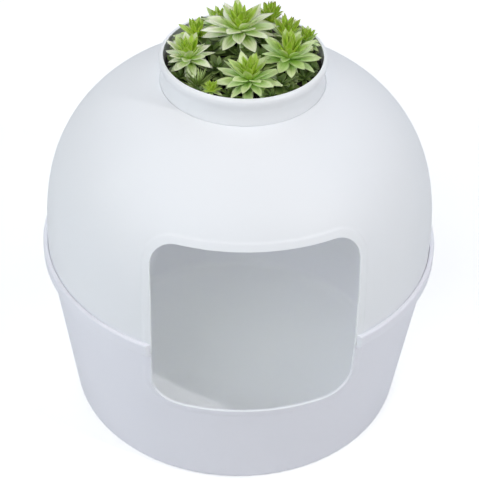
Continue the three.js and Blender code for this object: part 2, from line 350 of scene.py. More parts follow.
@cache
def moulded_group() -> NodeTree:
    """Draws the mottle, grain and handling marks of moulded plastic.

    Returns:
        A group that turns a colour, a roughness, a grain and an edge mask into a surface, with a
        painted highlight mixed in along the marked edges.
    """
    sheet, given, out = new_group(
        "moulded_surface",
        {"Colour": shade(0.8, 0.8, 0.8), "Roughness": 0.35, "Grain": 1.0, "Edge": 0.0},
        {"Colour": "NodeSocketColor", "Roughness": "NodeSocketFloat", "Height": "NodeSocketFloat"},
    )
    place = sheet.place()
    flow = sheet.cloud(place, 7.0)
    grain = sheet.cloud(place, 1400.0, 2.0, 0.6)
    ripple = sheet.cloud(place, 90.0)
    marks = sheet.cloud(sheet.stretched((260.0, 34.0, 120.0)), 1.0, 4.0, 0.7)
    mottle = sheet.span(flow, 0.3, 0.7, 0.0, 0.035)
    colour = sheet.mix(mottle, given["Colour"], shade(0.55, 0.6, 0.72))
    # Painted highlight: where the mesh marks an edge, the colour is mixed paler.
    colour = sheet.mix(sheet.times(given["Edge"], 0.35), colour, shade(0.95, 0.96, 0.98))
    rough = sheet.plus(given["Roughness"], sheet.span(ripple, 0.25, 0.75, -0.035, 0.035))
    rough = sheet.plus(rough, sheet.times(sheet.span(marks, 0.62, 0.74), 0.07))
    height = sheet.times(sheet.plus(grain, sheet.times(ripple, 1.6)), given["Grain"])
    sheet.fill(out, {"Colour": colour, "Roughness": rough, "Height": height})
    return sheet.tree


@cache
def crumb_group() -> NodeTree:
    """Draws a crumbly surface, for soil, foam and felt.

    Returns:
        A group that turns two colours and a scale into a surface.
    """
    sheet, given, out = new_group(
        "crumbly_surface",
        {"Light": shade(0.3, 0.3, 0.3), "Dark": shade(0.1, 0.1, 0.1), "Scale": 300.0},
        {"Colour": "NodeSocketColor", "Height": "NodeSocketFloat"},
    )
    place = sheet.place()
    cells = {"Vector": place, "Scale": given["Scale"]}
    gap = sheet.add("ShaderNodeTexVoronoi", cells).outputs[0]
    crumbs = sheet.cloud(place, given["Scale"], 6.0, 0.65)
    share = sheet.times(sheet.span(crumbs, 0.3, 0.7), sheet.span(gap, 0.0, 0.6, 1.0, 0.55))
    colour = sheet.mix(share, given["Dark"], given["Light"])
    height = sheet.math("SUBTRACT", crumbs, sheet.times(gap, 0.6))
    sheet.fill(out, {"Colour": colour, "Height": height})
    return sheet.tree


# ---------------------------------------------------------------- finishes


@dataclass(frozen=True)
class Finish(ABC):
    """A finish made of shader nodes."""

    name: str

    @abstractmethod
    def surface(self, sheet: Sheet) -> dict[str, object]:
        """Draws the nodes.

        Args:
            sheet: The material's nodes.

        Returns:
            The shader's inputs.
        """

    @cache
    def material(self) -> Material:
        """Builds the finish once.

        Returns:
            The material, the same one each time.
        """
        material = bpy.data.materials.new(self.name)
        material.use_nodes = True
        sheet = Sheet(material.node_tree)
        shader = sheet.add("ShaderNodeBsdfPrincipled", self.surface(sheet))
        sheet.add("ShaderNodeOutputMaterial", {"Surface": shader.outputs[0]})
        return material


@dataclass(frozen=True)
class MouldedPlastic(Finish):
    """Injection-moulded plastic with a fine grain and a painted highlight on its marked edges."""

    colour: Colour
    roughness: float
    grain: float = 1.0

    def surface(self, sheet: Sheet) -> dict[str, object]:
        """Draws the moulded surface, paler where the mesh marks an edge: a painted highlight.

        Args:
            sheet: The material's nodes.

        Returns:
            The shader's inputs.
        """
        values = {
            "Colour": self.colour,
            "Roughness": self.roughness,
            "Grain": self.grain,
            "Edge": sheet.add("ShaderNodeAttribute", attribute_name="edge").outputs["Fac"],
        }
        made = sheet.add("ShaderNodeGroup", values, node_tree=moulded_group()).outputs
        return {
            "Base Color": made["Colour"],
            "Roughness": made["Roughness"],
            "Normal": sheet.bump(made["Height"], 0.00004, 0.5),
            "IOR": 1.46,
        }


@dataclass(frozen=True)
class Crumb(Finish):
    """A crumbly or fibrous finish: soil, foam or felt."""

    light: Colour
    dark: Colour
    scale: float
    depth: float
    roughness: float
    fuzz: float = 0.0

    def surface(self, sheet: Sheet) -> dict[str, object]:
        """Draws the crumbs.

        Args:
            sheet: The material's nodes.

        Returns:
            The shader's inputs.
        """
        values = {"Light": self.light, "Dark": self.dark, "Scale": self.scale}
        made = sheet.add("ShaderNodeGroup", values, node_tree=crumb_group()).outputs
        return {
            "Base Color": made["Colour"],
            "Roughness": self.roughness,
            "Normal": sheet.bump(made["Height"], self.depth, 0.9),
            "Sheen Weight": self.fuzz,
            "Sheen Roughness": 0.6,
        }


@dataclass(frozen=True)
class DrawnSteel(Finish):
    """Drawn steel wire, with fine lines along the pin."""

    colour: Colour
    roughness: float

    def surface(self, sheet: Sheet) -> dict[str, object]:
        """Draws the lines.

        Args:
            sheet: The material's nodes.

        Returns:
            The shader's inputs.
        """
        lines = sheet.cloud(sheet.stretched((40.0, 2600.0, 2600.0)), 1.0, 3.0)
        wear_and_highlight = sheet.span(lines, 0.3, 0.7, 0.0, 0.3)
        smooth, rough = self.roughness - 0.08, self.roughness + 0.1
        return {
            "Base Color": sheet.mix(wear_and_highlight, self.colour, shade(0.42, 0.42, 0.43)),
            "Metallic": 1.0,
            "Roughness": sheet.span(lines, 0.2, 0.8, smooth, rough),
            "Normal": sheet.bump(lines, 0.00003, 0.4),
        }


@dataclass(frozen=True)
class SucculentLeaf(Finish):
    """Waxy leaves: pale margins on the old ones, yellow-green hearts and, on some, tinted tips. The
    lowest leaves are mixed dark, partly their own colour and partly painted shade.
    """

    heart: Colour = shade(0.7, 0.82, 0.08)
    young: Colour = shade(0.38, 0.58, 0.03)
    blade: Colour = shade(0.335, 0.54, 0.038)
    margin: Colour = shade(0.95, 0.97, 0.73)
    # Dark green of the low, old leaves: partly their own colour, partly painted shade.
    old: Colour = shade(0.17, 0.25, 0.035)
    edge: Colour = shade(0.74, 0.86, 0.2)
    tip: Colour = shade(0.22, 0.3, 0.07)
    tip_share: float = 0.35

    def surface(self, sheet: Sheet) -> dict[str, object]:
        """Draws each leaf from its own marks: along, across, age and its own number.

        Args:
            sheet: The material's nodes.

        Returns:
            The shader's inputs.
        """
        mark = sheet.add("ShaderNodeAttribute", attribute_name="leaf").outputs
        along, across, age = sheet.add("ShaderNodeSeparateColor", {0: mark["Color"]}).outputs
        own = mark["Alpha"]
        blotch = sheet.cloud(sheet.place(), 260.0, 3.0)
        lanes = {0: sheet.times(along, 1.6), 1: sheet.times(across, 9.0), 2: sheet.times(own, 40.0)}
        grain = sheet.add("ShaderNodeCombineXYZ", lanes).outputs[0]
        streaks = sheet.cloud(grain, 1.0, 3.0, 0.6)
        off_middle = sheet.math("ABSOLUTE", sheet.math("SUBTRACT", across, 0.5))
        rim = sheet.span(sheet.plus(off_middle, sheet.times(streaks, 0.16)), 0.22, 0.56)
        reach = sheet.plus(along, sheet.times(rim, 0.34))
        reach = sheet.plus(reach, sheet.times(sheet.math("SUBTRACT", streaks, 0.5), 0.7))
        pale = sheet.span(reach, 0.2, 0.95, 0.05, 1.0)
        pale = sheet.times(pale, sheet.span(own, 0.0, 1.0, 0.72, 1.1))
        outer = sheet.mix(pale, self.blade, self.margin)
        # Partly painted shade: the lowest rings are mixed towards the dark old colour.
        outer = sheet.mix(sheet.span(age, 0.0, 0.16, 0.9, 0.0), outer, self.old)
        inner = sheet.mix(sheet.span(along, 0.1, 0.7), self.heart, self.young)
        inner = sheet.mix(sheet.times(rim, 0.5), inner, self.edge)
        colour = sheet.mix(sheet.span(age, 0.42, 0.72), outer, inner)
        tipped = sheet.times(sheet.span(along, 0.78, 1.0), self.tip_share)
        tipped = sheet.times(tipped, sheet.span(age, 0.35, 0.6))
        colour = sheet.mix(tipped, colour, self.tip)
        dim = sheet.times(sheet.span(blotch, 0.25, 0.75), 0.12)
        height = sheet.plus(streaks, sheet.times(blotch, 0.4))
        return {
            "Base Color": sheet.mix(dim, colour, self.old),
            "Roughness": sheet.span(blotch, 0.2, 0.8, 0.36, 0.56),
            "Normal": sheet.bump(height, 0.0004, 0.5),
            "Subsurface Weight": 0.12,
            "Subsurface Radius": (0.0012, 0.002, 0.0006),
            "Subsurface Scale": 1.0,
            "Coat Weight": 0.08,
            "Coat Roughness": 0.3,
        }


@dataclass(frozen=True)
class PaleFloor(Finish):
    """A floor that the camera sees as white far off and as a little less near the box."""

    albedo: float = 0.8
    glow: float = 0.45
    near: float = 0.6
    far: float = 2.4

    def surface(self, sheet: Sheet) -> dict[str, object]:
        """Draws the floor's glow, which lights nothing else.

        Args:
            sheet: The material's nodes.

        Returns:
            The shader's inputs.
        """
        seen = sheet.add("ShaderNodeLightPath").outputs["Is Camera Ray"]
        away = sheet.add("ShaderNodeVectorMath", {0: sheet.place()}, operation="LENGTH")
        level = sheet.span(away.outputs["Value"], self.near, self.far, self.glow, 1.0)
        return {
            "Base Color": shade(self.albedo, self.albedo, self.albedo),
            "Roughness": 0.9,
            "Specular IOR Level": 0.0,
            "Emission Color": shade(1, 1, 1),
            "Emission Strength": sheet.times(seen, level),
        }


HOOD_PLASTIC = MouldedPlastic("hood_plastic", shade(0.937, 0.942, 0.95), 0.48)
TUB_PLASTIC = MouldedPlastic("tub_plastic", shade(0.912, 0.904, 0.95), 0.48)
POT_PLASTIC = MouldedPlastic("pot_plastic", shade(0.94, 0.942, 0.948), 0.44)
TRAY_PLASTIC = MouldedPlastic("tray_plastic", shade(0.56, 0.58, 0.61), 0.5, grain=2.0)
PIN_STEEL = DrawnSteel("pin_steel", shade(0.7, 0.71, 0.73), 0.3)
CARBON_FELT = Crumb(
    "carbon_felt", shade(0.06, 0.06, 0.065), shade(0.012, 0.012, 0.013), 900.0, 0.0006, 0.95, 0.4
)
FLORAL_FOAM = Crumb(
    "floral_foam", shade(0.13, 0.25, 0.11), shade(0.05, 0.11, 0.045), 700.0, 0.0005, 0.95
)
# Darker than plain soil, partly painted shade: it stands for the deep gaps between the plants.
DARK_SOIL = Crumb(
    "dark_soil", shade(0.026, 0.018, 0.012), shade(0.005, 0.004, 0.003), 420.0, 0.0012, 0.97
)
BARK = Crumb(
    "bark_chips", shade(0.05, 0.034, 0.02), shade(0.012, 0.009, 0.006), 600.0, 0.0006, 0.9
)
BROAD_LEAF = SucculentLeaf("broad_leaf")
GREEN_LEAF = SucculentLeaf(
    "green_leaf", blade=shade(0.275, 0.5, 0.035), margin=shade(0.76, 0.88, 0.45)
)
SPIKY_LEAF = SucculentLeaf("spiky_leaf", tip=shade(0.3, 0.13, 0.08), tip_share=0.6)
# Dark greens for the filler leaves low between the rosettes: partly their own colour, partly
# painted shade.
SHADED_LEAF = SucculentLeaf(
    "shaded_leaf",
    heart=shade(0.14, 0.24, 0.02),
    young=shade(0.07, 0.15, 0.015),
    blade=shade(0.055, 0.11, 0.015),
    margin=shade(0.18, 0.25, 0.06),
    old=shade(0.035, 0.055, 0.01),
    edge=shade(0.16, 0.24, 0.03),
)
PALE_FLOOR = PaleFloor("pale_floor")


# ---------------------------------------------------------------- pieces


def finish_piece(
    name: str,
    bm: BMesh,
    finish: Finish,
    body: Body,
    slot: Slot,
    replaces: Sequence[str] = (),
) -> Object:
    """Makes an object from a mesh, dresses it and hangs it on its body.

    Args:
        name: The piece's name.
        bm: Its mesh, which is freed.
        finish: What it is made of.
        body: The body that it rides on.
        slot: The record's slot for its finish; not used.
        replaces: The CAD nodes that it stands for.

    Returns:
        The new object.
    """
    for face in bm.faces:
        face.smooth = True
    mesh = bpy.data.meshes.new(name)
    bm.to_mesh(mesh)
    bm.free()
    piece = bpy.data.objects.new(name, mesh)
    bpy.context.scene.collection.objects.link(piece)
    mesh.materials.append(finish.material())
    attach(piece, body.value)
    if replaces:
        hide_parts(*replaces)
    LOG.info("%s: %d faces, rides on %s", name, len(mesh.polygons), body.value)
    return piece


def soften_edges(piece: Object, width: float) -> None:
    """Rounds a piece's sharp edges with a bevel.

    Args:
        piece: The piece.
        width: How wide the bevel is, in metres.
    """
    bevel = piece.modifiers.new("rounded_edges", "BEVEL")
    bevel.width = width
    bevel.segments = BEVEL_SEGMENTS
    bevel.limit_method = "ANGLE"
    bevel.angle_limit = SHARP_ANGLE
    bevel.harden_normals = True


def dress_node(node: str, finish: Finish) -> None:
    """Gives a CAD node that stays in view its finish.

    Args:
        node: The node's name.
        finish: What it is made of.
    """
    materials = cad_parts[node].data.materials
    materials.clear()
    materials.append(finish.material())
    LOG.info("%s: kept from the solid model, with a new finish", node)


# ---------------------------------------------------------------- the doorway and the round walls


class DoorHalf(Enum):
    """The half of the doorway that a wall holds."""

    ARCH = 1
    NOTCH = -1


@dataclass(frozen=True)
class Doorway:
    """The cat door as seen from the front: an arch in the hood above a notch in the tub."""

    half_width: float = 0.1045
    sill: float = 0.1213
    top: float = 0.3235
    top_rounding: float = 0.028
    sill_rounding: float = 0.029
    border: float = 0.008
    border_raise: float = 0.0009
    border_slope: float = 0.0024
    slope_start: float = 0.0018
    across_steps: int = 26
    corner_steps: int = 14
    side_steps: int = 40

    @property
    def corner_index(self) -> int:
        """The place in the outline of the middle of its rounded corner."""
        return self.across_steps + self.corner_steps // 2

    def outline(self, half: DoorHalf, margin: float, cut: float) -> list[Pair]:
        """Gives the right half of the edge, from the middle of the door to a height.

        Args:
            half: Which half of the door.
            margin: How far outside the edge.
            cut: The height where the wall ends.

        Returns:
            Points across and up.
        """
        arch = half is DoorHalf.ARCH
        flat, rounding = (self.top, self.top_rounding) if arch else (self.sill, self.sill_rounding)
        centre_x = self.half_width - rounding
        centre_z = flat - half.value * rounding
        reach = rounding + margin
        level = centre_z + half.value * reach
        points = [(centre_x * i / self.across_steps, level) for i in range(self.across_steps)]
        for i in range(self.corner_steps + 1):
            angle = math.pi / 2 * i / self.corner_steps
            up = half.value * reach * math.cos(angle)
            points.append((centre_x + reach * math.sin(angle), centre_z + up))
        for i in range(1, self.side_steps + 1):
            up = (cut - centre_z) * i / self.side_steps
            points.append((self.half_width + margin, centre_z + up))
        return points

    def raise_at(self, margin: float) -> float:
        """Gives the border's height, which falls smoothly at its outer side.

        Args:
            margin: How far outside the doorway's edge.

        Returns:
            How far the border stands out of the wall.
        """
        share = (margin - self.border + self.slope_start) / self.border_slope
        share = min(max(share, 0.0), 1.0)
        return self.border_raise * (1 - share * share * (3 - 2 * share))


class RoundWall:
    """A wall that goes round the Z axis, measured along its outside from the doorway's end."""

    def __init__(self, line: Sequence[Pair]) -> None:
        """Measures the wall's line.

        Args:
            line: The outside's points of radius and height.
        """
        self.radii, self.heights = (np.array(column) for column in zip(*line))
        steps = np.hypot(np.diff(self.radii), np.diff(self.heights))
        self.path = np.concatenate(([0.0], np.cumsum(steps)))
        self.way = 1 if self.heights[-1] > self.heights[0] else -1

    @property
    def length(self) -> float:
        """The length of the whole line."""
        return float(self.path[-1])

    def at(self, path: float) -> Pair:
        """The radius and height at a length along the line."""
        radius, height = (np.interp(path, self.path, side) for side in (self.radii, self.heights))
        return float(radius), float(height)

    def path_to(self, height: float) -> float:
        """The length along the line at a height."""
        order = np.argsort(self.heights)
        return float(np.interp(height, self.heights[order], self.path[order]))

    def place(self, turn: float, path: float, lift: float = 0.0) -> Vector:
        """Finds a place on the wall.

        Args:
            turn: The angle from the front.
            path: The length along the line.
            lift: How far the place is lifted off the wall.

        Returns:
            The place.
        """
        radius, height = self.at(path)
        if lift:
            (r0, z0), (r1, z1) = self.at(path - MM), self.at(path + MM)
            out = Vector((z1 - z0, r0 - r1)).normalized() * self.way * lift
            radius, height = radius + out.x, height + out.y
        return Vector((radius * math.sin(turn), -radius * math.cos(turn), height))


@dataclass
class DoorSkin:
    """The outer skin of a round wall, laid out in rings round the doorway."""

    wall: RoundWall
    doorway: Doorway
    half: DoorHalf
    margins: tuple[float, ...] = (0, 0.8, 1.8, 3.2, 4.8, 6.2, 6.8, 7.4, 8.0, 8.6, 9.8, 12.0, 15.5)
    # Within this margin of the door's edge, the edge mask paints a highlight.
    highlight_margin: float = 2.4
    rings: int = 44
    growth: float = 1.3

    def turns_and_paths(self, margin: float) -> list[Pair]:
        """Lays the doorway's outline on the wall.

        Args:
            margin: How far outside the edge.

        Returns:
            Turns from the front and lengths along the wall.
        """
        cut = self.wall.at(0.0)[1]
        found = []
        for across, height in self.doorway.outline(self.half, margin, cut):
            path = self.wall.path_to(height)
            found.append((math.asin(across / self.wall.at(path)[0]), path))
        return found

    def far_edge(self) -> list[Pair]:
        """Lays the outermost ring along the wall's far edge and up or down its back.

        Returns:
            Turns from the front and lengths along the wall.
        """
        corner = self.doorway.corner_index
        last = self.doorway.across_steps + self.doorway.corner_steps + self.doorway.side_steps
        edge = [(math.pi * i / corner, self.wall.length) for i in range(corner + 1)]
        for i in range(1, last - corner + 1):
            edge.append((math.pi, self.wall.length * (1 - i / (last - corner))))
        return edge

    def places(self) -> Iterator[tuple[float, list[Vector]]]:
        """Lays the rings from the door outwards.

        Yields:
            Each ring's painted edge highlight and places.
        """
        for margin in self.margins:
            near = self.turns_and_paths(margin * MM)
            lift = self.doorway.raise_at(margin * MM)
            # Painted highlight: full at the door's edge, fading out over the margin set above.
            wear_and_highlight = max(1 - margin / self.highlight_margin, 0.0)
            yield wear_and_highlight, [self.wall.place(*point, lift) for point in near]
        far = self.far_edge()
        for i in range(1, self.rings + 1):
            share = (i / self.rings) ** self.growth
            yield 0.0, [
                self.wall.place(t0 + (t1 - t0) * share, p0 + (p1 - p0) * share)
                for (t0, p0), (t1, p1) in zip(near, far)
            ]

    def build(self, bm: BMesh) -> list[BMVert]:
        """Builds the right half of the skin.

        Args:
            bm: The mesh, which is empty.

        Returns:
            The far edge's vertices, from the front to the back.
        """
        # The edge layer carries the painted highlight that the moulded finish mixes in.
        highlight_layer = bm.verts.layers.float.new("edge")
        line: list[BMVert] = []
        for wear_and_highlight, places in self.places():
            line = extrude_line(bm, line, places) if line else first_line(bm, places)
            for vertex in line:
                vertex[highlight_layer] = wear_and_highlight
        return line[: self.doorway.corner_index + 1]


def ring_places(line: Sequence[BMVert], radius: float, height: float) -> list[Vector]:
    """Places for a ring that follows a line's turns at another radius and height."""
    spokes = [Vector((v.co.x, v.co.y, 0)).normalized() for v in line]
    return [Vector((spoke.x * radius, spoke.y * radius, height)) for spoke in spokes]


def mirror_right_half(bm: BMesh) -> None:
    """Adds the left half of a skin and turns its faces outwards.

    Args:
        bm: The right half.
    """
    geometry = bm.verts[:] + bm.edges[:] + bm.faces[:]
    bmesh.ops.mirror(bm, geom=geometry, axis="X", merge_dist=SAME_PLACE)
    face_skin_outwards(bm)


# ---------------------------------------------------------------- sub-assemblies


@dataclass
class Hood:
    """The domed hood, with the doorway's arch and a shallow seat for the pot."""

    doorway: Doorway
    radius: float = 0.2095
    skirt_bottom: float = 0.1909
    spring: float = 0.204
    rise: float = 0.2098
    fullness: float = 2.83
    edge_radius: float = 0.0864
    seat_radius: float = 0.0857
    seat: float = 0.39955
    seat_slope: float = 0.0001
    seat_rounding: float = 0.0004
    seat_fillet: float = 0.0003
    hole_radius: float = 0.076
    wall: float = 0.0026
    softness: float = 0.0009
    curve_steps: int = 220

    def outside(self) -> list[Pair]:
        """Gives the hood's outside, which bulges more than a circle does.

        Returns:
            Points of radius and height, from the skirt to the seat's edge.
        """
        line = [(self.radius, self.skirt_bottom)]
        last_turn = math.acos(self.edge_radius / self.radius)
        for i in range(self.curve_steps + 1):
            radius = self.radius * math.cos(last_turn * i / self.curve_steps)
            height = self.rise * (1 - (radius / self.radius) ** 2) ** (1 / self.fullness)
            line.append((radius, self.spring + height))
        return line

    def build(self) -> None:
        """Builds and dresses the hood."""
        skin = DoorSkin(RoundWall(self.outside()), self.doorway, DoorHalf.ARCH)
        bm = bmesh.new()
        line = skin.build(bm)
        edge = line[0].co.z
        recess = to_mm(
            (self.edge_radius, edge, 0.0),
            (self.seat_radius, edge + self.seat_slope, self.seat_rounding),
            (self.seat_radius - self.seat_slope, self.seat, self.seat_fillet),
            (self.hole_radius, self.seat, 0.0),
        )
        for radius, height in rounded(recess, steps=3)[1:]:
            line = extrude_line(bm, line, ring_places(line, radius, height))
        mirror_right_half(bm)
        bmesh.ops.solidify(bm, geom=bm.faces[:], thickness=self.wall)
        piece = finish_piece("hood_shell", bm, HOOD_PLASTIC, Body.COVER, Slot.WHITE, ["hood"])
        soften_edges(piece, self.softness)


@dataclass
class Tub:
    """The tub: a tapered wall with the doorway's notch, a floor, and a band with a lip on top.

    The band's ends are turned on to the doorway's upright edges, less and less up to shift_turn
    away from them. The groove's ends are drawn in by end_grip within end_turn of the doorway.
    """

    doorway: Doorway
    shoulder_radius: float = 0.2093
    shoulder: float = 0.188
    floor_radius: float = 0.184
    floor_rounding: float = 0.011
    floor_margin: float = 0.014
    floor_rings: tuple[float, ...] = (0.15, 0.12, 0.09, 0.06, 0.03, 0.0)
    wall: float = 0.0026
    groove_inner: float = 0.2111
    groove_outer: float = 0.2125
    groove_bottom: float = 0.19
    end_grip: float = 0.0015
    end_turn: float = 0.03
    shift_turn: float = 1.2
    rim_depth: float = 0.0015
    edge_depth: float = 0.004
    softness: float = 0.0007
    band: tuple[Triple, ...] = (
        (209.3, 188, 0),
        (209.8, 188, 0),
        (215, 188, 3.2),
        (215, 204, 2.2),
        (210, 204, 1.2),
        (210, 199, 0.6),
        (212.4, 198.6, 0.5),
        (212.4, 190.6, 0.8),
        (206.9, 190.6, 0.4),
        (206.75, 189.2, 0),
    )

    def outside(self) -> list[Pair]:
        """Gives the tub's outside.

        Returns:
            Points of radius and height, from the shoulder to the flat of the floor.
        """
        corners = to_mm(
            (self.shoulder_radius, self.shoulder, 0.0),
            (self.floor_radius, 0.0, self.floor_rounding),
            (self.floor_radius - self.floor_margin, 0.0, 0.0),
        )
        return rounded(corners, steps=10)

    def follow(self, line: Sequence[BMVert], radius: float, height: float) -> list[Vector]:
        """Places for the band's next line, with its ends kept on the doorway's upright edges.

        Args:
            line: The shoulder's outer vertices, from one side of the door round to the other.
            radius: The next line's radius.
            height: The next line's height.

        Returns:
            A place for each vertex.
        """
        places = []
        in_groove = height > self.groove_bottom and self.groove_inner < radius < self.groove_outer
        across = self.doorway.half_width
        door_turn = math.asin(across / self.shoulder_radius)
        for vertex in line:
            turn = math.atan2(vertex.co.x, -vertex.co.y)
            away = max(abs(turn) - door_turn, 0.0)
            grip = self.end_grip * max(1 - away / self.end_turn, 0.0) if in_groove else 0.0
            reach = radius - grip
            shift = math.asin(across / reach) - door_turn
            turn += math.copysign(shift * max(1 - away / self.shift_turn, 0.0), turn)
            places.append(Vector((reach * math.sin(turn), -reach * math.cos(turn), height)))
        return places

    def shoulder_line(self, bm: BMesh, radius: float) -> list[BMVert]:
        """Finds the open edge's vertices at a radius.

        Args:
            bm: The tub's mesh.
            radius: The edge's radius.

        Returns:
            The vertices, from one side of the door round to the other.
        """
        lowest = self.shoulder - self.edge_depth
        found = [v for v in bm.verts if v.is_boundary and v.co.z > lowest]
        found = [v for v in found if abs(v.co.xy.length - radius) < self.wall / 2]
        return sorted(found, key=lambda v: math.atan2(v.co.x, v.co.y))

    def build(self) -> None:
        """Builds and dresses the tub."""
        skin = DoorSkin(RoundWall(self.outside()), self.doorway, DoorHalf.NOTCH)
        bm = bmesh.new()
        line = skin.build(bm)
        for radius in self.floor_rings:
            line = extrude_line(bm, line, ring_places(line, radius, 0.0))
        mirror_right_half(bm)
        bmesh.ops.solidify(bm, geom=bm.faces[:], thickness=self.wall)
        self.add_band(bm)
        piece = finish_piece("tub_shell", bm, TUB_PLASTIC, Body.BASE, Slot.TUB, ["tub"])
        soften_edges(piece, self.softness)

    def add_band(self, bm: BMesh) -> None:
        """Opens the wall's top edge and carries it on over the band and back inside.

        Args:
            bm: The tub's mesh, whose wall has its thickness.
        """
        lowest = self.shoulder - self.rim_depth
        high = [f for f in bm.faces if all(v.co.z > lowest for v in f.verts)]
        rims = [f for f in high if abs(f.normal.z) > LEVEL_NORMAL]
        bmesh.ops.delete(bm, geom=rims, context="FACES")
        outer = self.shoulder_line(bm, self.shoulder_radius)
        inner = self.shoulder_line(bm, self.shoulder_radius - self.wall)
        line = outer
        for radius, height in rounded(self.band, steps=5)[1:]:
            line = extrude_line(bm, line, self.follow(outer, radius, height))
        loops = [bm.edges.get(pair) for side in (line, inner) for pair in zip(side, side[1:])]
        bmesh.ops.bridge_loops(bm, edges=loops)
        bmesh.ops.holes_fill(bm, edges=[e for e in bm.edges if e.is_boundary], sides=0)
        bmesh.ops.recalc_face_normals(bm, faces=bm.faces[:])


@dataclass
class PlanterPot:
    """The pot: a collar on the hood's seat, a body through its hole and the filter's chamber."""

    steps: int = 120
    ear_steps: int = 24
    ear_inner: float = 0.0058
    ear_width: float = 0.005
    eye_radius: float = 0.0035
    eye_flat: float = 0.002
    pin_hole: float = 0.0019
    hinge_back: float = 0.058
    hinge_height: float = 0.34835
    wall_side: float = 0.0512
    profile: tuple[Triple, ...] = (
        (0, 357.85, 0),
        (50, 357.85, 0.6),
        (50, 344.85, 0.6),
        (52.5, 344.85, 0.6),
        (52.5, 357.85, 1),
        (75.5, 357.85, 8),
        (75.5, 399.85, 0.8),
        (85.1, 399.85, 0.6),
        (82.7, 408, 24),
        (83, 417, 12),
        (86.4, 424.8, 4.5),
        (86.4, 430.85, 4.2),
        (81.5, 430.85, 0.5),
        (81.5, 424.6, 6),
        (80.5, 417.2, 14),
        (80.3, 408.4, 22),
        (82.4, 402.25, 1),
        (73.1, 402.25, 1.6),
        (73.1, 360.25, 5.6),
        (0, 360.25, 0),
    )

    def add_ear(self, bm: BMesh, side: int) -> None:
        """Adds one ear of the tray's hinge: a plate with a round end and a hole for the pin.

        Args:
            bm: The pot's mesh.
            side: 1 for the right ear, -1 for the left one.
        """
        start = side * self.ear_inner
        turn = Matrix.Rotation(math.pi / 2, 4, "Y")
        place = Matrix.Translation((start, self.hinge_back, self.hinge_height)) @ turn
        loops = [
            bmesh.ops.create_circle(bm, radius=radius, segments=self.ear_steps, matrix=place)
            for radius in (self.eye_radius, self.pin_hole)
        ]
        for vertex in loops[0]["verts"]:
            inwards = self.hinge_back - vertex.co.y
            if inwards > SAME_PLACE:
                up = math.copysign(self.eye_radius, vertex.co.z - self.hinge_height)
                vertex.co.z = self.hinge_height + up
            if inwards > self.eye_flat:
                vertex.co.y = self.wall_side
        edges = [e for loop in loops for v in loop["verts"] for e in v.link_edges]
        faces = bmesh.ops.bridge_loops(bm, edges=list(set(edges)))["faces"]
        made = bmesh.ops.extrude_face_region(bm, geom=faces, use_keep_orig=True)["geom"]
        moved = [item for item in made if isinstance(item, BMVert)]
        bmesh.ops.translate(bm, verts=moved, vec=(side * self.ear_width, 0, 0))

    def build(self) -> None:
        """Builds and dresses the pot."""
        bm = spun(rounded(self.profile, steps=7), self.steps)
        for side in (-1, 1):
            self.add_ear(bm, side)
        bmesh.ops.recalc_face_normals(bm, faces=bm.faces[:])
        finish_piece("pot_shell", bm, POT_PLASTIC, Body.PLANTER, Slot.WHITE, ["planter_pot"])


@dataclass
class Filter:
    """The slotted tray under the pot, its pin, and the carbon pad that lies in it."""

    steps: int = 72
    felt_scale: float = 140.0
    felt_depth: float = 0.0004
    felt_pull: float = 8.0
    profile: tuple[Triple, ...] = (
        (0, 344.85, 0),
        (44.8, 344.85, 1.4),
        (45.4, 348.85, 6),
        (44.4, 353.25, 2.4),
        (33.4, 353.65, 20),
        (0, 353.85, 0),
    )

    def pad(self) -> None:
        """Builds the felt pad, soft at its edges."""
        bm = spun(rounded(self.profile), self.steps)
        for vertex in bm.verts:
            push = noise.noise(vertex.co * self.felt_scale) * self.felt_depth
            vertex.co.x *= 1 - abs(push) * self.felt_pull
            vertex.co.y *= 1 - abs(push) * self.felt_pull
        piece = finish_piece(
            "carbon_pad_felt", bm, CARBON_FELT, Body.TRAY, Slot.FELT, ["carbon_filter_pad"]
        )

    def build(self) -> None:
        """Builds the pad and dresses the tray and the pin."""
        dress_node("filter_tray", TRAY_PLASTIC)
        dress_node("filter_tray_pin", PIN_STEEL)
        self.pad()


class Habit(Enum):
    """How a plant grows."""

    BROAD = "broad leaves, pale and long outside, upright and yellow-green inside"
    YOUNG = "a small plant that is yellow-green right out to its rim"
    SPIKY = "narrow leaves with tinted tips"
    TUFT = "a tuft of thin leaves"
    # Partly painted shade: these leaves are coloured dark for the shade low between the others.
    SHADED = "dark leaves low between the others"


@dataclass(frozen=True)
class LeafRing:
    """One ring of leaves: how many, how steep at foot and tip, how long and wide, how old."""

    count: int
    foot_tilt: float
    tip_tilt: float
    length: float
    width: float
    age: float


